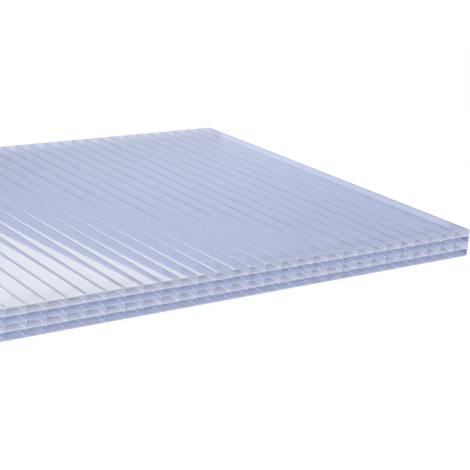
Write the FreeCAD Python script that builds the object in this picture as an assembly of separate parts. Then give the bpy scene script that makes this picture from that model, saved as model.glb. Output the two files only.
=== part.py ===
import FreeCAD, Part
import os

# Multiwall polycarbonate sheet, lying flat.
# The width runs along X, the flutes along Y and the thickness along Z.
# The origin is the middle of the underside. All sizes are in millimetres.

# Overall size of the sheet
width = 1050.0
flute_length = 540.0
thickness = 32.0

# The two outer skins, top and underside
skin = 0.75

# The thin level walls between the skins, evenly spaced
inner_wall = 0.3
inner_wall_count = 3

# The upright ribs, evenly spaced from the middle of the sheet outwards
rib = 0.45
rib_pitch = 20.9

# The closed long edges, and the narrowest bay that may stand beside them
side_wall = 1.0
narrowest_side_bay = 20.9

# Rounding inside each flute, and along the four long outer edges
flute_corner_radius = 0.5
edge_radius = 0.6


def rounded_outline(x_low, x_high, z_low, z_high, radius):
    """A closed outline in the section plane: a rectangle with four round corners."""
    front = -flute_length / 2
    slack = radius * (1 - 0.5 ** 0.5)
    corners = [
        (x_high - radius, z_low, x_high - slack, z_low + slack, x_high, z_low + radius),
        (x_high, z_high - radius, x_high - slack, z_high - slack, x_high - radius, z_high),
        (x_low + radius, z_high, x_low + slack, z_high - slack, x_low, z_high - radius),
        (x_low, z_low + radius, x_low + slack, z_low + slack, x_low + radius, z_low),
    ]
    edges = []
    previous_end = FreeCAD.Vector(x_low + radius, front, z_low)
    for start_x, start_z, middle_x, middle_z, end_x, end_z in corners:
        start = FreeCAD.Vector(start_x, front, start_z)
        middle = FreeCAD.Vector(middle_x, front, middle_z)
        end = FreeCAD.Vector(end_x, front, end_z)
        edges.append(Part.LineSegment(previous_end, start).toShape())
        edges.append(Part.Arc(start, middle, end).toShape())
        previous_end = end
    return Part.Wire(edges)


def clear_spans(low, high, wall, centres):
    """The open stretches between two end walls and the walls that stand on the centres."""
    starts = [low] + [centre + wall / 2 for centre in centres]
    ends = [centre - wall / 2 for centre in centres] + [high]
    return list(zip(starts, ends))


# Ribs stand symmetrically about the middle, so both side bays are equally wide.
bay_count = int((width - 2 * narrowest_side_bay) / rib_pitch)
rib_centres = [(number - bay_count / 2) * rib_pitch for number in range(bay_count + 1)]
half_inside = width / 2 - side_wall
bays = clear_spans(-half_inside, half_inside, rib, rib_centres)

# The level walls share the height between the skins into equal tiers.
tier_count = inner_wall_count + 1
inside_height = thickness - 2 * skin
tier_height = (inside_height - inner_wall_count * inner_wall) / tier_count
wall_centres = []
for number in range(inner_wall_count):
    wall_foot = skin + (number + 1) * tier_height + number * inner_wall
    wall_centres.append(wall_foot + inner_wall / 2)
tiers = clear_spans(skin, thickness - skin, inner_wall, wall_centres)

# The whole section is one face: the outer outline with every flute left open in it.
outlines = [rounded_outline(-width / 2, width / 2, 0.0, thickness, edge_radius)]
for bay_low, bay_high in bays:
    for tier_low, tier_high in tiers:
        outlines.append(rounded_outline(bay_low, bay_high, tier_low, tier_high, flute_corner_radius))
section = Part.makeFace(outlines, "Part::FaceMakerBullseye")

# Extruding the section along the flutes gives the sheet, cut square at both ends.
sheet = section.extrude(FreeCAD.Vector(0, flute_length, 0))
if sheet.ShapeType != "Solid":
    sheet = sheet.Solids[0]

os.makedirs("parts", exist_ok=True)
sheet.exportStep("parts/multiwall_sheet.step")

area = width * flute_length / 1e6
print("flutes", len(bays) * len(tiers), "in", len(tiers), "tiers of", round(tier_height, 3), "mm")
print("ribs", len(rib_centres), "side bay", round(bays[0][1] - bays[0][0], 3), "mm")
print("valid", sheet.isValid(), "solids", len(sheet.Solids), "faces", len(sheet.Faces))
print("volume", round(sheet.Volume / 1000, 2), "cm3, mean wall", round(sheet.Volume / area / 1e6, 3), "mm")
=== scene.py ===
# %% [markdown]
# # A clear multiwall polycarbonate sheet
# This lesson dresses one sheet of roof glazing. The real sheet is pushed out of a die in
# one piece: two glossy skins, three thin level walls between them and upright ribs, with
# long open flutes in between. The measured model comes first, because every surface made
# here has to lie where that model says.

# %% Load the measured model
import math
import bpy
import numpy as np
from mathutils import Matrix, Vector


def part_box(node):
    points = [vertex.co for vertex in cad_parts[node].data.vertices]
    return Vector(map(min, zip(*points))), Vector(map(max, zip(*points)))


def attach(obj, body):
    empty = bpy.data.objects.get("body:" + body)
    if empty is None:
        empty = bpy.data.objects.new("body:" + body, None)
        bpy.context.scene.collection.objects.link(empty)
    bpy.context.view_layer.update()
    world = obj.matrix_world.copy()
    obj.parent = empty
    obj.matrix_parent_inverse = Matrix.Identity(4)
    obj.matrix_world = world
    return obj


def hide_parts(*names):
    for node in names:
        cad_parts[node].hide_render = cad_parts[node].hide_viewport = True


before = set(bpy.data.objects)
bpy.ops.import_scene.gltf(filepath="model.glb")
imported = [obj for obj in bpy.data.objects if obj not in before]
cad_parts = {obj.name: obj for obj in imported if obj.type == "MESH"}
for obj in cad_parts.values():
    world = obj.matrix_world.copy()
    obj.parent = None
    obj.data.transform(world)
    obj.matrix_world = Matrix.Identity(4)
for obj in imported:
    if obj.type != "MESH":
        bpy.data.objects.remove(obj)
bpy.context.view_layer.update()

NODE = "multiwall_sheet"
low, high = (np.array(corner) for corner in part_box(NODE))
width, length, thickness = high - low
print("sheet", np.round(1000 * (high - low), 2), "mm")

# %% [markdown]
# ## The section
# Everything about this sheet is in its section, the shape that the die gives it. The walls
# are written once, in metres, and the ribs and tiers are counted out from them. The flutes
# could be cut with booleans, but two hundred cuts are slow and leave ragged faces. The
# section is worked out as arrays of points instead, and carried along the flutes.

# %% Walls of the section
SKIN = 0.00075
INNER_WALL = 0.0003
INNER_WALL_COUNT = 3
RIB = 0.00045
RIB_PITCH = 0.0209
SIDE_WALL = 0.001
NARROWEST_SIDE_BAY = 0.0209
FLUTE_CORNER = 0.0005
EDGE_ROUND = 0.0006

bays_between_ribs = int((width - 2 * NARROWEST_SIDE_BAY) / RIB_PITCH)
rib_centres = (np.arange(bays_between_ribs + 1) - bays_between_ribs / 2) * RIB_PITCH
inside = width / 2 - SIDE_WALL
bay_low = np.concatenate([[-inside], rib_centres + RIB / 2])
bay_high = np.concatenate([rib_centres - RIB / 2, [inside]])

tiers = INNER_WALL_COUNT + 1
tier_height = (thickness - 2 * SKIN - INNER_WALL_COUNT * INNER_WALL) / tiers
tier_low = SKIN + np.arange(tiers) * (tier_height + INNER_WALL)
tier_high = tier_low + tier_height
bays = len(bay_low)
print(bays, "bays,", tiers, "tiers,", bays * tiers, "flutes")

# %% [markdown]
# ## How flat the skins really are
# A skin shrinks a little more where a rib pulls on it, so the glossy face dips over each
# rib and crowns between two of them. The dip is less than a fifth of a millimetre, yet it
# is what bends the soft box's reflection into tapered streaks, so it is made as real shape.
# A bump texture would be quicker, but a bump bends the mirror image only, not the edge.
# The thin walls between the flutes are not quite flat either. Each is bowed by about a
# tenth of a millimetre, by its own amount. The section is worked out at a few places along
# the flutes, which are closer together near the cuts, where the walls are seen best.

# %% The dips and the sag
CROWN = 0.000065
SINK = 0.00010
SINK_REACH = 0.0016
SINK_ROUND = 0.0003
CROWN_SPREAD, SINK_SPREAD = 0.12, 0.10
SAG, SAG_SPREAD, SAG_CHANGE = -0.00010, 0.00012, 0.3
SLICES = 9
rng = np.random.default_rng(7)
END_ZONES = (0.012, 0.026)
inner_y = np.linspace(low[1] + END_ZONES[-1], high[1] - END_ZONES[-1], SLICES - 4)
slice_y = np.concatenate([[low[1], low[1] + END_ZONES[0]], inner_y, [high[1] - END_ZONES[0], high[1]]])
wall_places = np.concatenate([[-width / 2], rib_centres, [width / 2]])
crown_of_bay = CROWN * (1 + CROWN_SPREAD * rng.standard_normal(bays))
sink_of_wall = SINK * (1 + SINK_SPREAD * rng.standard_normal(len(wall_places)))
sag_of_wall = SAG_SPREAD * rng.standard_normal((INNER_WALL_COUNT, bays)) + SAG
sag_drift = rng.uniform(0, 2 * np.pi, (INNER_WALL_COUNT, bays))


def skin_dip(x):
    """How far a skin lies inside its flat plane at x: a parabola that is zero in the middle
    of the bay and deepest at its two walls, plus a small rounded dip over each wall."""
    bay = np.clip(np.searchsorted(wall_places, x, side="right") - 1, 0, bays - 1)
    left, right = wall_places[bay], wall_places[bay + 1]
    across = (x - left) / (right - left)
    crown = crown_of_bay[bay] * (2 * across - 1) ** 2
    from_left = np.sqrt((x - left) ** 2 + SINK_ROUND ** 2)
    from_right = np.sqrt((right - x) ** 2 + SINK_ROUND ** 2)
    sinks = sink_of_wall[bay] * np.exp(-from_left / SINK_REACH)
    sinks = sinks + sink_of_wall[bay + 1] * np.exp(-from_right / SINK_REACH)
    return crown + sinks


def skin_slope(x):
    """How steeply a skin's dip grows at x: its rise over 20 micrometres, per metre."""
    step = 0.00001
    return (skin_dip(x + step) - skin_dip(x - step)) / (2 * step)


def wall_sag(number, bay, across, y):
    """How far a thin level wall hangs below its place, or stands above it where the sag is
    negative: a parabola across the bay whose depth changes slowly along the flute."""
    along = 1 + SAG_CHANGE * np.cos(2 * np.pi * y / length + sag_drift[number, bay])
    return sag_of_wall[number, bay] * 4 * across * (1 - across) * along


print("deepest dip", round(1000 * float(skin_dip(rib_centres[:1])[0]), 3), "mm")

# %% [markdown]
# ## One flute's outline
# Each flute is a long box with rounded corners. Its outline is a ring of points, always
# with the same number on each side, so that the rings of all flutes fit in one array and
# neighbouring rings can be joined point to point.

# %% Steps along a ring
ACROSS_STEPS = 10
TALL_STEPS = 2
ARC_STEPS = 3
OVER_RIB_STEPS = 4
quarter = np.linspace(0, np.pi / 2, ARC_STEPS + 1)[1:-1]
spread = 0.5 - 0.5 * np.cos(np.linspace(0, np.pi, ACROSS_STEPS + 1))
rise = np.linspace(0, 1, TALL_STEPS + 1)


def arc(centre_x, centre_z, radius, start):
    """The inner points of a quarter circle that turns left, from the angle start on."""
    x = np.asarray(centre_x)[..., None] + radius * np.cos(start + quarter)
    z = np.asarray(centre_z)[..., None] + radius * np.sin(start + quarter)
    return np.stack(np.broadcast_arrays(x, z), axis=-1)


def facing(x, z):
    """Directions of length one, from their parts across and up."""
    x, z = np.broadcast_arrays(np.asarray(x, dtype=float), np.asarray(z, dtype=float))
    return np.stack([x, z], axis=-1) / np.hypot(x, z)[..., None]


# %% [markdown]
# Blender blends the shading of neighbouring faces, and beside a small round corner that
# would make a whole flat wall look bent. So each point gets its own exact direction: level
# or upright on the walls, towards the middle of the curve on the corners, and as steep as
# the dip on the skins. Light then goes through the walls as it does through real flat ones.

# %% Rings of all the flutes at one place along them
def flute_rings(y):
    """The outlines of all flutes at y, as bays by tiers by points, and which way each point
    faces. A ring runs anticlockwise from its lower left corner: four sides that follow the
    walls, straight but for the skin's dip or the thin wall's sag, and four quarter circles."""
    r = FLUTE_CORNER
    start, end = bay_low[:, None], bay_high[:, None]
    across = start + r + (end - start - 2 * r) * spread
    share = (across - start) / (end - start)
    across_all = np.repeat(across[:, None], tiers, axis=1)
    floor = across_all * 0 + tier_low[:, None]
    ceiling = across_all * 0 + tier_high[:, None]
    for number in range(INNER_WALL_COUNT):
        sag = wall_sag(number, np.arange(bays)[:, None], share, y)
        floor[:, number + 1] -= sag
        ceiling[:, number] -= sag
    floor[:, 0] += skin_dip(across)
    ceiling[:, -1] -= skin_dip(across)
    run = np.gradient(across_all, axis=-1)
    floor_slope, ceiling_slope = np.gradient(floor, axis=-1) / run, np.gradient(ceiling, axis=-1) / run
    floor_slope[:, 0] = skin_slope(across)
    ceiling_slope[:, -1] = -skin_slope(across)
    up = tier_low[:, None] + r + (tier_height - 2 * r) * rise
    up = np.repeat(up[None], bays, axis=0)
    at_left, at_right = bay_low[:, None] + np.zeros(tiers), bay_high[:, None] + np.zeros(tiers)
    places = np.concatenate([
        np.stack([across_all, floor], axis=-1),
        arc(at_right - r, floor[..., -1] + r, r, -np.pi / 2),
        np.stack([at_right[..., None] + 0 * up, up], axis=-1),
        arc(at_right - r, ceiling[..., -1] - r, r, 0),
        np.stack([across_all, ceiling], axis=-1)[..., ::-1, :],
        arc(at_left + r, ceiling[..., 0] - r, r, np.pi / 2),
        np.stack([at_left[..., None] + 0 * up, up], axis=-1)[..., ::-1, :],
        arc(at_left + r, floor[..., 0] + r, r, np.pi),
    ], axis=-2)
    middle = np.zeros((bays, tiers))
    directions = np.concatenate([
        facing(-floor_slope, 1),
        -arc(middle, middle, 1, -np.pi / 2),
        facing(0 * up - 1, 0),
        -arc(middle, middle, 1, 0),
        facing(ceiling_slope, -1)[..., ::-1, :],
        -arc(middle, middle, 1, np.pi / 2),
        facing(0 * up + 1, 0),
        -arc(middle, middle, 1, np.pi),
    ], axis=-2)
    return places, directions


# %% The ring round the whole sheet
def outer_places():
    """Where the outline has points: beside each point of the flutes next to it, and a few
    more over each rib."""
    r = FLUTE_CORNER
    in_bays = bay_low[:, None] + r + (bay_high - bay_low - 2 * r)[:, None] * spread
    between = np.linspace(in_bays[:-1, -1], in_bays[1:, 0], OVER_RIB_STEPS + 1, axis=-1)[:, 1:-1]
    runs = np.concatenate([in_bays[:-1], between], axis=-1).reshape(-1)
    edge = width / 2 - EDGE_ROUND
    across = np.concatenate([[-edge], runs, in_bays[-1], [edge]])
    up = (tier_low[:, None] + r + (tier_height - 2 * r) * rise).reshape(-1)
    return across, np.concatenate([[EDGE_ROUND], up, [thickness - EDGE_ROUND]])


def outer_ring(across, up):
    """The sheet's outline, anticlockwise from its lower left corner, and which way each
    point faces: the flat faces less their dips, the straight long edges, and a small
    quarter circle at each corner."""
    r, edge = EDGE_ROUND, width / 2
    dip, slope = skin_dip(across), skin_slope(across)
    top = np.stack([across, thickness - dip], axis=-1)
    places = np.concatenate([
        np.stack([across, dip], axis=-1),
        arc(edge - r, r + dip[-1], r, -np.pi / 2),
        np.stack([np.full_like(up, edge), up], axis=-1),
        arc(edge - r, thickness - r - dip[-1], r, 0),
        top[::-1],
        arc(-edge + r, thickness - r - dip[0], r, np.pi / 2),
        np.stack([np.full_like(up, -edge), up], axis=-1)[::-1],
        arc(-edge + r, r + dip[0], r, np.pi),
    ])
    directions = np.concatenate([
        facing(slope, -1), arc(0, 0, 1, -np.pi / 2), facing(0 * up + 1, 0), arc(0, 0, 1, 0),
        facing(slope, 1)[::-1], arc(0, 0, 1, np.pi / 2), facing(0 * up - 1, 0), arc(0, 0, 1, np.pi),
    ])
    return places, directions


outer_across, outer_up = outer_places()
outer, outer_facing = outer_ring(outer_across, outer_up)
rings, rings_facing = (np.array(part) for part in zip(*[flute_rings(y) for y in slice_y]))
ring_points = rings.shape[-2]
print("points in a flute's ring", ring_points, "and round the sheet", len(outer))

# %% [markdown]
# ## Carrying the rings along the flutes
# The rings are repeated at a few places along the sheet, since only the thin walls change
# on the way. Between two places each pair of neighbouring points makes a long face. The
# flutes' faces look into the flutes and the outer ones look out, away from the plastic.

# %% Points and long faces
flute_points = bays * tiers * ring_points
section_points = flute_points + len(outer)
points = np.empty((SLICES, section_points, 3))
points[:, :, 1] = slice_y[:, None]
points[:, :flute_points, 0::2] = rings.reshape(SLICES, flute_points, 2)
points[:, flute_points:, 0::2] = outer
point_facing = np.zeros_like(points)
point_facing[:, :flute_points, 0::2] = rings_facing.reshape(SLICES, flute_points, 2)
point_facing[:, flute_points:, 0::2] = outer_facing

flute_at = np.arange(flute_points).reshape(bays, tiers, ring_points)
outer_at = flute_points + np.arange(len(outer))


def long_faces(ring, outward):
    """Four-cornered faces from each edge of closed rings to the same edge one place on."""
    start, end = ring, np.roll(ring, -1, axis=-1)
    start, end = start.reshape(-1), end.reshape(-1)
    step = section_points * np.arange(SLICES - 1)[:, None]
    a, b = start + step, end + step
    if outward:
        corners = (a, a + section_points, b + section_points, b)
    else:
        corners = (a, b, b + section_points, a + section_points)
    return np.stack(corners, axis=-1).reshape(-1, 4)


skin_faces = long_faces(outer_at, outward=True)
flute_faces = long_faces(flute_at, outward=False)
print("long faces", len(skin_faces), "outside and", len(flute_faces), "in the flutes")

# %% [markdown]
# ## Closing the cut ends
# The saw leaves the whole section bare at both ends. Walls and ribs are closed with narrow
# four-cornered faces between neighbouring rings, and each crossing of a rib and a wall with
# one face of many corners, so that the end is closed without a single hidden overlap.

# %% The sides and corners of each ring by name
A, T, C = ACROSS_STEPS + 1, TALL_STEPS + 1, ARC_STEPS - 1


def split(ring, across, tall):
    """The rows of point numbers on a ring's eight parts, in the order that they were made."""
    ends = np.cumsum([across, C, tall, C, across, C, tall])
    return np.split(ring, ends, axis=-1)


floor, turn_1, right, turn_2, ceiling, turn_3, left, turn_4 = split(flute_at, A, T)
ceiling, left = ceiling[..., ::-1], left[..., ::-1]
low_right = np.concatenate([floor[..., -1:], turn_1, right[..., :1]], axis=-1)
high_right = np.concatenate([right[..., -1:], turn_2, ceiling[..., -1:]], axis=-1)
high_left = np.concatenate([ceiling[..., :1], turn_3, left[..., -1:]], axis=-1)
low_left = np.concatenate([left[..., :1], turn_4, floor[..., :1]], axis=-1)

under, round_1, edge_right, round_2, top, round_3, edge_left, round_4 = split(
    outer_at, len(outer_across), len(outer_up))
top, edge_left = top[::-1], edge_left[::-1]

# %% Strips over the walls and ribs
def strip(lower, upper):
    """Four-cornered faces between two equal rows of points, the second above or left of
    the first."""
    corners = (lower[..., :-1], lower[..., 1:], upper[..., 1:], upper[..., :-1])
    return np.stack(corners, axis=-1).reshape(-1, 4)


bay_start = 1 + np.arange(bays)[:, None] * (A + OVER_RIB_STEPS - 1)
tier_start = 1 + np.arange(tiers)[:, None] * T
left_rows, right_rows = edge_left[tier_start + np.arange(T)], edge_right[tier_start + np.arange(T)]
end_faces = np.concatenate([
    strip(under[bay_start + np.arange(A)], floor[:, 0]),
    strip(ceiling[:, -1], top[bay_start + np.arange(A)]),
    strip(ceiling[:, :-1], floor[:, 1:]),
    strip(left[1:], right[:-1]),
    strip(left[0], left_rows),
    strip(right_rows, right[-1]),
]).tolist()

# %% Crossings, side joints and corners
back_again = np.s_[..., ::-1]
over_rib = bay_start[:-1] + A - 1 + np.arange(OVER_RIB_STEPS + 1)
many_cornered = [
    np.concatenate([high_right[:-1, :-1], low_right[:-1, 1:], low_left[1:, 1:],
                    high_left[1:, :-1]], axis=-1)[back_again],
    np.concatenate([under[over_rib], low_left[1:, 0][back_again],
                    low_right[:-1, 0][back_again]], axis=-1),
    np.concatenate([high_right[:-1, -1], top[over_rib], high_left[1:, -1]], axis=-1)[back_again],
    np.concatenate([left_rows[1:, :1], left_rows[:-1, -1:], high_left[0, :-1][back_again],
                    low_left[0, 1:][back_again]], axis=-1),
    np.concatenate([right_rows[:-1, -1:], right_rows[1:, :1], low_right[-1, 1:][back_again],
                    high_right[-1, :-1][back_again]], axis=-1),
    np.concatenate([edge_left[1::-1], round_4, under[:2], low_left[0, 0][::-1]]),
    np.concatenate([under[-2:], round_1, edge_right[:2], low_right[-1, 0][::-1]]),
    np.concatenate([edge_right[-2:], round_2, top[:-3:-1], high_right[-1, -1][::-1]]),
    np.concatenate([top[1::-1], round_3, edge_left[:-3:-1], high_left[0, -1][::-1]]),
]
for group in many_cornered:
    end_faces += group.reshape(-1, group.shape[-1]).tolist()
print("faces on each cut end", len(end_faces))

# %% Put it all into one mesh
far_end = section_points * (SLICES - 1)
far_faces = [[corner + far_end for corner in reversed(face)] for face in end_faces]
faces = skin_faces.tolist() + flute_faces.tolist() + end_faces + far_faces
sheet_mesh = bpy.data.meshes.new("clear_sheet")
sheet_mesh.from_pydata(points.reshape(-1, 3).tolist(), [], faces)
mended = sheet_mesh.validate()

# %% [markdown]
# ## Which face gets which finish
# The photo shows four bands on the cut end. The first and third tiers from the top look
# pale, the second and fourth bluer. So the faces are sorted by tier, and then by the kind
# of wall. Floors and ribs are kept apart, because light from above falls on the floors and
# only grazes the ribs. The two side walls are thicker, and their dark tone shows in the
# blue tiers only. Sorting by place in the array is exact, while picking faces by their
# position in space could miss some at the corners.

# %% Sort the faces
# The rib finishes carry painted shade over their dust.
finish_names = ["top_skin", "underside", "ceilings", "milky_floors", "milky_shaded_ribs", "blue_floors",
                "blue_shaded_ribs", "lowest_floor", "side_walls", "sawn_ends"]
(TOP, UNDER, CEILINGS, MILKY_FLOORS, MILKY_SHADED_RIBS, BLUE_FLOORS,
 BLUE_SHADED_RIBS, LOWEST_FLOOR, SIDES, SAWN) = range(len(finish_names))
ON_RIGHT = slice(A + C, A + C + T - 1)
ON_CEILING = slice(A + T + 2 * C, 2 * A + T + 2 * C - 1)
ON_LEFT = slice(2 * A + T + 3 * C, ring_points - C - 1)
flute_slots = np.full((SLICES - 1, bays, tiers, ring_points), MILKY_FLOORS)
flute_slots[..., ON_LEFT] = MILKY_SHADED_RIBS
flute_slots[..., ON_RIGHT] = MILKY_SHADED_RIBS
flute_slots[:, :, 0::2] += BLUE_FLOORS - MILKY_FLOORS
flute_slots[:, :, 0, :A - 1] = LOWEST_FLOOR
flute_slots[..., ON_CEILING] = CEILINGS
flute_slots[:, 0, 0::2, ON_LEFT] = SIDES
flute_slots[:, -1, 0::2, ON_RIGHT] = SIDES
outer_slots = np.full((SLICES - 1, len(outer)), UNDER)
top_start = len(outer_across) + 2 * C + len(outer_up)
outer_slots[:, top_start:top_start + len(outer_across) - 1] = TOP
slots = np.concatenate([outer_slots.reshape(-1), flute_slots.reshape(-1),
                        np.full(2 * len(end_faces), SAWN)]).astype(np.int32)
print({name: int((slots == place).sum()) for place, name in enumerate(finish_names)})

# %% Finishes and exact directions on the mesh
sheet_mesh.polygons.foreach_set("material_index", slots)
sheet_mesh.shade_smooth()
long_corners = np.concatenate([skin_faces.reshape(-1), flute_faces.reshape(-1)])
end_corners = sum(len(face) for face in end_faces)
corner_facing = np.concatenate([point_facing.reshape(-1, 3)[long_corners],
                                np.tile([0.0, -1.0, 0.0], (end_corners, 1)),
                                np.tile([0.0, 1.0, 0.0], (end_corners, 1))])
sheet_mesh.normals_split_custom_set(corner_facing.tolist())
sheet = bpy.data.objects.new("clear_sheet", sheet_mesh)
bpy.context.scene.collection.objects.link(sheet)


def closed_volume(mesh):
    """The volume inside a closed mesh: the sum over its triangles of a sixth of the triple
    product of their corners, which is positive only if the faces point outwards."""
    mesh.calc_loop_triangles()
    corners = np.empty(len(mesh.loop_triangles) * 3, dtype=np.int32)
    mesh.loop_triangles.foreach_get("vertices", corners)
    places = np.empty(len(mesh.vertices) * 3)
    mesh.vertices.foreach_get("co", places)
    a, b, c = places.reshape(-1, 3)[corners.reshape(-1, 3)].transpose(1, 0, 2)
    return float(np.einsum("ij,ij->i", a, np.cross(b, c)).sum() / 6)


print("triangles", len(sheet_mesh.loop_triangles) or "not counted", "mended by Blender:", mended)
print("plastic", round(1e6 * closed_volume(sheet_mesh), 1), "cm3")

# %% [markdown]
# ## One plastic, several surfaces
# The sheet is polycarbonate throughout, but its surfaces differ. Glass and clear plastics
# are best made with the Principled shader's transmission: it bends and reflects light at
# each face by the index of refraction. A simple see-through colour would be quicker, but
# it would lose the mirror-like glare, which shows the ribs so clearly on the real sheet.
# Where a surface is hazy, part of the transmission gives way to plain scattering.

# %% Plastic and the helpers for its patterns
REFRACTION = 1.585
GRAIN_LOW, GRAIN_HIGH = 0.3, 0.7
GRAIN_DETAIL = 3.0


def plastic(name, colour, roughness, clear):
    """A new finish on the sheet: plastic that lets the share clear of the light through
    and scatters the rest in its colour."""
    material = bpy.data.materials.new(name)
    material.use_nodes = True
    shader = material.node_tree.nodes["Principled BSDF"]
    shader.inputs["Base Color"].default_value = (*colour, 1)
    shader.inputs["Roughness"].default_value = roughness
    shader.inputs["IOR"].default_value = REFRACTION
    shader.inputs["Transmission Weight"].default_value = clear
    sheet_mesh.materials.append(material)
    return material.node_tree, shader


def place_along(tree, axis):
    """The place on the sheet along one axis, in metres from its middle."""
    coordinates = tree.nodes.new("ShaderNodeTexCoord")
    parts = tree.nodes.new("ShaderNodeSeparateXYZ")
    tree.links.new(coordinates.outputs["Object"], parts.inputs[0])
    return parts.outputs[axis]


def off_the_rib(tree):
    """How far a point is from the nearest rib: the distance to the nearest multiple of the
    rib pitch, since a rib stands at the middle of the sheet."""
    node = tree.nodes.new("ShaderNodeMath")
    node.operation = "PINGPONG"
    node.inputs[1].default_value = RIB_PITCH / 2
    tree.links.new(place_along(tree, "X"), node.inputs[0])
    return node.outputs[0]


def along_the_flutes(tree):
    """How far a point is from the sheet's middle along the flutes, on either side."""
    node = tree.nodes.new("ShaderNodeMath")
    node.operation = "ABSOLUTE"
    tree.links.new(place_along(tree, "Y"), node.inputs[0])
    return node.outputs[0]


def fade(tree, source, start, end, first, last):
    """A smooth change from the first value to the last while the source goes from start to
    end: a curve that leaves and arrives level."""
    node = tree.nodes.new("ShaderNodeMapRange")
    node.interpolation_type = "SMOOTHSTEP"
    tree.links.new(source, node.inputs["Value"])
    names = ("From Min", "From Max", "To Min", "To Max")
    for name, value in zip(names, (start, end, first, last)):
        node.inputs[name].default_value = value
    return node.outputs["Result"]


def blend(tree, share, first, second):
    """A colour between two; each of them is a colour or the output of a node."""
    node = tree.nodes.new("ShaderNodeMix")
    node.data_type = "RGBA"
    tree.links.new(share, node.inputs["Factor"])
    for socket, colour in zip((node.inputs[6], node.inputs[7]), (first, second)):
        if isinstance(colour, tuple):
            socket.default_value = (*colour, 1)
        else:
            tree.links.new(colour, socket)
    return node.outputs[2]


def grain(tree, lines_per_metre):
    """Noise between 0 and 1 whose size along each axis is one over the number of lines in
    a metre."""
    coordinates = tree.nodes.new("ShaderNodeTexCoord")
    stretch = tree.nodes.new("ShaderNodeMapping")
    stretch.inputs["Scale"].default_value = lines_per_metre
    noise = tree.nodes.new("ShaderNodeTexNoise")
    noise.inputs["Scale"].default_value = 1.0
    noise.inputs["Detail"].default_value = GRAIN_DETAIL
    tree.links.new(coordinates.outputs["Object"], stretch.inputs["Vector"])
    tree.links.new(stretch.outputs["Vector"], noise.inputs["Vector"])
    return noise.outputs["Fac"]


def shade(colour, amount):
    """The same colour, lighter or darker by a factor, and never above white."""
    return tuple(min(1.0, part * amount) for part in colour)


def streaked(tree, pattern, colour, spread):
    """The colour, darker and lighter by the spread from one side of a pattern to the other."""
    return blend(tree, pattern, shade(colour, 1 - spread), shade(colour, 1 + spread))


# %% [markdown]
# ## The two skins
# A die squeezes out the skins and polished plates set them, which leaves very fine lines
# along the sheet. Noise that is drawn out along the flutes gives such lines, and it only
# changes how sharp the glare is. Over each rib the skin looks darker, since light from
# below is caught inside the rib, so each rib is followed by a strip of painted shade. The
# weather side carries a thin layer that keeps sunlight from ageing the plastic, and this
# layer makes the top hazier than the underside. Near the cuts the top lets less light
# through, in a slightly darker shade, so that it looks even over the dusty flutes, and
# the last few millimetres take one plain, greyer colour. Masks painted by hand could do
# the same, but distances in metres stay right at any size of picture.

# %% Skins
DIE_LINES = (900.0, 1.5, 900.0)
SMOOTH_SKIN, DULL_SKIN = 0.012, 0.035
# The first pair below says how far the painted shade over each rib reaches; the colours over ribs are
# that shade.
RIB_SHADE_BAND = (0.0009, 0.0028)
TOP_TINT, TOP_RIB_SHADE = (0.49, 0.545, 0.82), (0.335, 0.38, 0.61)
AT_END = 0.83
TOP_CLEAR, TOP_CLEAR_AT_END = 0.5, 0.3
CUT_ZONE = (0.042, 0.026)
EDGE_ZONE = (0.0035, 0.0025)
TOP_EDGE = (0.43, 0.475, 0.65)
UNDER_TINT, UNDER_RIB_SHADE = (0.70, 0.75, 0.93), (0.60, 0.65, 0.84)


def skin(name, tint, over_rib, clear):
    """A skin with die lines in its gloss and painted shade over each rib. The rib shade and
    the colour are handed back too, so that more can be made from them."""
    tree, shader = plastic(name, tint, SMOOTH_SKIN, clear)
    lines = grain(tree, DIE_LINES)
    gloss = fade(tree, lines, GRAIN_LOW, GRAIN_HIGH, SMOOTH_SKIN, DULL_SKIN)
    tree.links.new(gloss, shader.inputs["Roughness"])
    # Painted shade over each rib, fading out within about three millimetres of it.
    rib_shade = fade(tree, off_the_rib(tree), *RIB_SHADE_BAND, 1.0, 0.0)
    colour = blend(tree, rib_shade, tint, over_rib)
    tree.links.new(colour, shader.inputs["Base Color"])
    return tree, shader, rib_shade, colour


tree, shader, rib_shade, colour = skin("top_skin", TOP_TINT, TOP_RIB_SHADE, TOP_CLEAR)
cut_zone = [length / 2 - depth for depth in CUT_ZONE]
clear_share = fade(tree, along_the_flutes(tree), *cut_zone, TOP_CLEAR, TOP_CLEAR_AT_END)
tree.links.new(clear_share, shader.inputs["Transmission Weight"])
# Near the cuts the top lets less light through and is a slightly darker shade; the last few
# millimetres take one plain, greyer colour.
near_end = fade(tree, along_the_flutes(tree), *cut_zone, 0.0, 1.0)
end_colour = blend(tree, rib_shade, shade(TOP_TINT, AT_END), shade(TOP_RIB_SHADE, AT_END))
edge_zone = [length / 2 - depth for depth in EDGE_ZONE]
at_edge = fade(tree, along_the_flutes(tree), *edge_zone, 0.0, 1.0)
whole = blend(tree, at_edge, blend(tree, near_end, colour, end_colour), TOP_EDGE)
tree.links.new(whole, shader.inputs["Base Color"])
skin("underside", UNDER_TINT, UNDER_RIB_SHADE, 1.0)
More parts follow.
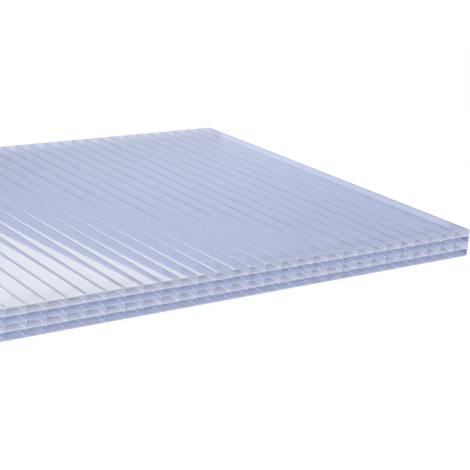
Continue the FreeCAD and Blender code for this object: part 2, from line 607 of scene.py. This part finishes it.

# %% [markdown]
# ## Inside the flutes
# Nothing touches the inner walls while they cool, so they are clear. The saw blows fine
# swarf into the open flutes, which stays on the floors and ribs for about three
# centimetres from the cuts. It makes them milky and rough there, so they glow evenly
# instead of mirroring each other in small bright pieces. Real swarf lies in patches, so
# noise moves the edge of the milky zone. The ribs are given a darker colour than the
# floors: painted shade over their dust, as light from above falls on the floors and only
# grazes the ribs. In the last millimetres before a cut the colour is darker still, a
# painted shade that evens out the strong light coming in at the opening. Small chips
# could be modelled one by one, but they are far too small to be seen.

# %% Walls of the flutes
FAINT_STREAKS = (260.0, 4.0, 260.0)
SWARF_PATCHES = (160.0, 120.0, 160.0)
FULL_DUST, NO_DUST, EDGE_DEPTH = 0.026, 0.034, 0.008
PATCHES = 0.002
DUST_CLEAR, DUST_ROUGH = 0.1, 0.6
FAINT_SPREAD = 0.03
CEILING = (0.95, 0.96, 0.99)
CLEAR_INSIDE = (0.97, 0.98, 1.0)
# In each pair, the first colour is darkened with painted shade for the last millimetres before a cut,
# and the second is the dust further in.
MILKY_SHADED_EDGE, MILKY = (0.80, 0.83, 0.98), (0.91, 0.945, 1.0)
# Rib colours: dust with painted shade.
MILKY_SHADED_RIB_EDGE, MILKY_SHADED_RIB = (0.5, 0.525, 0.65), (0.55, 0.587, 0.725)
BLUE_SHADED_EDGE, BLUE = (0.638, 0.694, 0.918), (0.762, 0.829, 1.0)
BLUE_SHADED_RIB_EDGE, BLUE_SHADED_RIB = (0.35, 0.388, 0.562), (0.388, 0.438, 0.625)
LOWEST_SHADED_EDGE, LOWEST_DUST = (0.526, 0.56, 0.683), (0.717, 0.773, 0.963)


def flute_wall(name, at_edge, dust_and_shade):
    """A wall that is clear deep inside and milky near the cuts. The milky share, the
    roughness and the colour all follow the distance from the nearest cut, moved a little
    by the noise. In the last millimetres the colour turns darker: painted shade that
    evens out the strong light at the opening."""
    tree, shader = plastic(name, CLEAR_INSIDE, 0.0, 1.0)
    patches = fade(tree, grain(tree, SWARF_PATCHES), GRAIN_LOW, GRAIN_HIGH, -PATCHES, PATCHES)
    moved = tree.nodes.new("ShaderNodeMath")
    moved.operation = "ADD"
    tree.links.new(along_the_flutes(tree), moved.inputs[0])
    tree.links.new(patches, moved.inputs[1])
    reach = moved.outputs[0]
    dust_zone = (length / 2 - NO_DUST, length / 2 - FULL_DUST)
    share = fade(tree, reach, *dust_zone, 1.0, DUST_CLEAR)
    tree.links.new(share, shader.inputs["Transmission Weight"])
    dusty = fade(tree, reach, *dust_zone, 0.0, 1.0)
    rough = fade(tree, reach, *dust_zone, 0.0, DUST_ROUGH)
    tree.links.new(rough, shader.inputs["Roughness"])
    # Painted shade: a darker colour in the last millimetres, where light comes in at the opening.
    shaded_edge_share = fade(tree, reach, length / 2 - EDGE_DEPTH, length / 2, 0.0, 1.0)
    streaks = streaked(tree, grain(tree, FAINT_STREAKS), CLEAR_INSIDE, FAINT_SPREAD)
    colour = blend(tree, shaded_edge_share, blend(tree, dusty, streaks, dust_and_shade), at_edge)
    tree.links.new(colour, shader.inputs["Base Color"])


tree, shader = plastic("ceilings", CEILING, 0.0, 1.0)
streaks = streaked(tree, grain(tree, FAINT_STREAKS), CEILING, FAINT_SPREAD)
tree.links.new(streaks, shader.inputs["Base Color"])
flute_wall("milky_floors", MILKY_SHADED_EDGE, MILKY)
flute_wall("milky_shaded_ribs", MILKY_SHADED_RIB_EDGE, MILKY_SHADED_RIB)
flute_wall("blue_floors", BLUE_SHADED_EDGE, BLUE)
flute_wall("blue_shaded_ribs", BLUE_SHADED_RIB_EDGE, BLUE_SHADED_RIB)
flute_wall("lowest_floor", LOWEST_SHADED_EDGE, LOWEST_DUST)

# %% [markdown]
# ## Long sides and sawn ends
# The two side walls are the thickest upright walls, so they look deepest in colour. The
# ends are cut with a fine circular saw. Its teeth leave upright scratches, which scatter
# the light, so the cut is dull, and its scratches are thin and tall. Its colour is dark:
# a bare cut edge shows the plastic's own depth and sends little light back.

# %% Sides and cuts
SIDE_TINT = (0.16, 0.21, 0.40)
SIDE_CLEAR = 0.4
SIDE_SPREAD = 0.05
SAW_MARKS = (2600.0, 1.0, 260.0)
CUT_COLOUR = (0.276, 0.306, 0.396)
CUT_CLEAR = 0.3
CUT_SPREAD = 0.15
CUT_SMOOTH, CUT_ROUGH = 0.40, 0.60

tree, shader = plastic("side_walls", SIDE_TINT, 0.0, SIDE_CLEAR)
streaks = streaked(tree, grain(tree, FAINT_STREAKS), SIDE_TINT, SIDE_SPREAD)
tree.links.new(streaks, shader.inputs["Base Color"])
tree, shader = plastic("sawn_ends", CUT_COLOUR, CUT_ROUGH, CUT_CLEAR)
marks = grain(tree, SAW_MARKS)
scratched = streaked(tree, marks, CUT_COLOUR, CUT_SPREAD)
tree.links.new(scratched, shader.inputs["Base Color"])
depth_of_marks = fade(tree, marks, GRAIN_LOW, GRAIN_HIGH, CUT_SMOOTH, CUT_ROUGH)
tree.links.new(depth_of_marks, shader.inputs["Roughness"])
assert [material.name for material in sheet_mesh.materials] == finish_names

# %% Hand the sheet to the frame
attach(sheet, "root")
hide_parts(NODE)
print("finishes", len(sheet_mesh.materials))

# %% [markdown]
# ## The studio
# Product photos of clear sheets are taken on a white sweep. A floor alone would look grey,
# as no floor sends back all its light. So for rays from the camera, and for rays that were
# mirrored or let through by the sheet, most of the floor is plain white. The rest is matt
# paint and takes the sheet's faint shadow.

# %% Floor
FLOOR_SIZE = 40.0
FLOOR_GAP = 0.0004
FLOOR_PAINT = 0.93
FLOOR_WHITE = 0.92
bpy.ops.mesh.primitive_plane_add(size=FLOOR_SIZE, location=(0, 0, -FLOOR_GAP))
floor_object = bpy.context.object
floor_object.name = "studio_floor"
floor_paint = bpy.data.materials.new("studio_floor")
floor_object.data.materials.append(floor_paint)

# %% White where it is looked at, matt where it is lit
floor_paint.use_nodes = True
nodes, links = floor_paint.node_tree.nodes, floor_paint.node_tree.links
nodes.clear()
matt = nodes.new("ShaderNodeBsdfDiffuse")
matt.inputs["Color"].default_value = (FLOOR_PAINT, FLOOR_PAINT, FLOOR_PAINT, 1)
white = nodes.new("ShaderNodeEmission")
white.inputs["Strength"].default_value = 1.0
path = nodes.new("ShaderNodeLightPath")
seen = path.outputs["Is Camera Ray"]
for kind in ("Is Glossy Ray", "Is Transmission Ray"):
    either = nodes.new("ShaderNodeMath")
    either.operation = "MAXIMUM"
    links.new(seen, either.inputs[0])
    links.new(path.outputs[kind], either.inputs[1])
    seen = either.outputs[0]
white_share = nodes.new("ShaderNodeMath")
white_share.operation = "MULTIPLY"
white_share.inputs[1].default_value = FLOOR_WHITE
both = nodes.new("ShaderNodeMixShader")
output = nodes.new("ShaderNodeOutputMaterial")
links.new(seen, white_share.inputs[0])
links.new(white_share.outputs[0], both.inputs["Fac"])
links.new(matt.outputs[0], both.inputs[1])
links.new(white.outputs[0], both.inputs[2])
links.new(both.outputs[0], output.inputs["Surface"])

# %% [markdown]
# ## What the sheet mirrors
# A glossy skin at a low angle is mostly a mirror, so the room behind it matters as much as
# the plastic. The room is white. The wall behind the sheet is greyer and slightly cool,
# with a soft glow low on it, which the far part of the skin mirrors where the photo's top
# is lighter. All of this depends only on the angle between a direction and the middle of
# the glow. A picture of a real studio would also do, but then its shapes would show.

# %% The room around
GLOW_MIDDLE = (32.5, 5.0)
WALL_TINT = (0.97, 1.02, 1.12)
WALL_REACH = 46.0
ROOM_SHADES = ((180.0, 1.0), (90.0, 1.0), (46.0, 0.90), (20.0, 0.57), (15.5, 0.53),
               (13.2, 0.62), (11.2, 0.79), (8.4, 0.92), (0.0, 1.0))


def direction(azimuth, elevation):
    """A direction of length one. The azimuth turns from +Y towards +X, in degrees."""
    az, el = math.radians(azimuth), math.radians(elevation)
    return np.array([math.sin(az) * math.cos(el), math.cos(az) * math.cos(el), math.sin(el)])


world = bpy.data.worlds.new("studio")
bpy.context.scene.world = world
world.use_nodes = True
nodes, links = world.node_tree.nodes, world.node_tree.links
looking = nodes.new("ShaderNodeTexCoord")
towards_glow = nodes.new("ShaderNodeVectorMath")
towards_glow.operation = "DOT_PRODUCT"
towards_glow.inputs[1].default_value = direction(*GLOW_MIDDLE)
part = nodes.new("ShaderNodeMapRange")
part.inputs["From Min"].default_value = -1.0
shades = nodes.new("ShaderNodeValToRGB")
links.new(looking.outputs["Generated"], towards_glow.inputs[0])
links.new(towards_glow.outputs["Value"], part.inputs["Value"])
links.new(part.outputs["Result"], shades.inputs["Fac"])
links.new(shades.outputs["Color"], nodes["Background"].inputs["Color"])
ramp = shades.color_ramp.elements
while len(ramp) < len(ROOM_SHADES):
    ramp.new(0.5)
for stop, (angle, grey) in zip(ramp, ROOM_SHADES):
    stop.position = (1 + math.cos(math.radians(angle))) / 2
    tint = WALL_TINT if angle < WALL_REACH else (1.0, 1.0, 1.0)
    stop.color = (*shade(tint, grey), 1)
nodes["Background"].inputs["Strength"].default_value = 1.0

# %% [markdown]
# ## Lamps
# The world gives the plain light, and four panels add to it. The soft box stands behind
# the sheet, and the skin mirrors it as the pale patch that breaks up into streaks. It is
# warmer than the room, which makes the patch neutral over the blue plastic. The other
# three are small and low. They shine along the flutes, one from near the camera and two
# from other sides, because a flute lit only from above looks like a row of dark holes. A
# small bright lamp would sparkle in every thin wall, so these three are left out of what
# the sheet mirrors and lets through, and only light its hazy, dusty and sawn surfaces.

# %% Soft panels
PLAIN = (1.0, 1.0, 1.0)
WARM = (1.0, 0.92, 0.48)
LOW_PANEL, LOW_DISTANCE = (1.4, 0.75), 3.2


def panel(name, from_where, size, distance, brightness, roll=0.0, colour=PLAIN, mirrored=False):
    """A flat panel of light that faces the sheet from an azimuth and an elevation. Its
    power is its brightness times its area times pi. The sheet mirrors it only if asked."""
    light = bpy.data.lights.new(name, "AREA")
    light.shape = "RECTANGLE"
    light.size, light.size_y = size
    light.color = colour
    light.energy = brightness * math.pi * size[0] * size[1]
    away = direction(*from_where)
    azimuth = math.radians(from_where[0])
    level = np.array([math.cos(azimuth), -math.sin(azimuth), 0.0])
    turn = math.radians(roll)
    side = -math.cos(turn) * level - math.sin(turn) * np.cross(level, away)
    pose = np.eye(4)
    pose[:3] = np.stack([side, np.cross(away, side), away, away * distance], axis=1)
    lamp = bpy.data.objects.new(name, light)
    lamp.matrix_world = Matrix(pose.tolist())
    lamp.visible_camera = False
    lamp.visible_glossy = mirrored
    lamp.visible_transmission = mirrored
    bpy.context.scene.collection.objects.link(lamp)


panel("soft_box", from_where=(35.0, 32.0), size=(11.0, 5.0), distance=12.0, brightness=1.43,
      roll=9.4, colour=WARM, mirrored=True)
panel("front_left", from_where=(206.0, 13.5), size=(1.0, 0.5), distance=LOW_DISTANCE, brightness=60.0)
panel("front_right", from_where=(142.0, 8.0), size=LOW_PANEL, distance=LOW_DISTANCE, brightness=7.0)
panel("back", from_where=(15.0, 8.0), size=LOW_PANEL, distance=LOW_DISTANCE, brightness=12.0)

# %% [markdown]
# ## The camera
# The photo was taken from the front left and a little above. Its edges and its evenly
# spaced ribs were measured, and a camera was fitted to them. The fit gives the direction,
# the distance in rib pitches and the focal length in pixels. It could be found by eye as
# well, but the reflections move with every degree, so a fit is worth the work.

# %% Camera
IMAGE_PIXELS = 470
FOCAL_PIXELS = 1281.5
SENSOR = 36.0
FAR_END = 100.0
CAMERA_AZIMUTH, CAMERA_ELEVATION, CAMERA_ROLL = -36.29, 17.63, 3.92
AIM = np.array([-9.98, 8.38, 0.0])
AIM_DISTANCE = 72.50

near_corner = np.array([width / 2, -length / 2, 0.0])
towards = direction(180.0 - CAMERA_AZIMUTH, CAMERA_ELEVATION)
eye = near_corner + (AIM + towards * AIM_DISTANCE) * RIB_PITCH
level = np.cross([0, 0, 1], towards)
level = level / np.linalg.norm(level)
upright = np.cross(towards, level)
roll = math.radians(CAMERA_ROLL)
view_right = math.cos(roll) * level + math.sin(roll) * upright
view_up = math.cos(roll) * upright - math.sin(roll) * level
pose = np.eye(4)
pose[:3] = np.stack([view_right, view_up, towards, eye], axis=1)

camera_data = bpy.data.cameras.new("camera")
camera_data.sensor_width = SENSOR
camera_data.lens = FOCAL_PIXELS / IMAGE_PIXELS * SENSOR
camera_data.clip_end = FAR_END
camera = bpy.data.objects.new("camera", camera_data)
camera.matrix_world = Matrix(pose.tolist())
bpy.context.scene.collection.objects.link(camera)
bpy.context.scene.camera = camera
print("camera at", np.round(eye, 3), "with a lens of", round(camera_data.lens, 1), "mm")

# %% [markdown]
# ## How light is followed
# A ray that enters the sheet meets dozens of thin walls. With the usual few bounces it
# would be given up inside and show as black, so many more are allowed here. The view
# transform is the plain one, so that colours come out as they were written.

# %% Bounces and view
MOST_BOUNCES = 256
bpy.context.scene.view_settings.view_transform = "Standard"
cycles = bpy.context.scene.cycles
cycles.max_bounces = MOST_BOUNCES
cycles.diffuse_bounces = MOST_BOUNCES // 2
cycles.transmission_bounces = MOST_BOUNCES
cycles.glossy_bounces = MOST_BOUNCES // 2
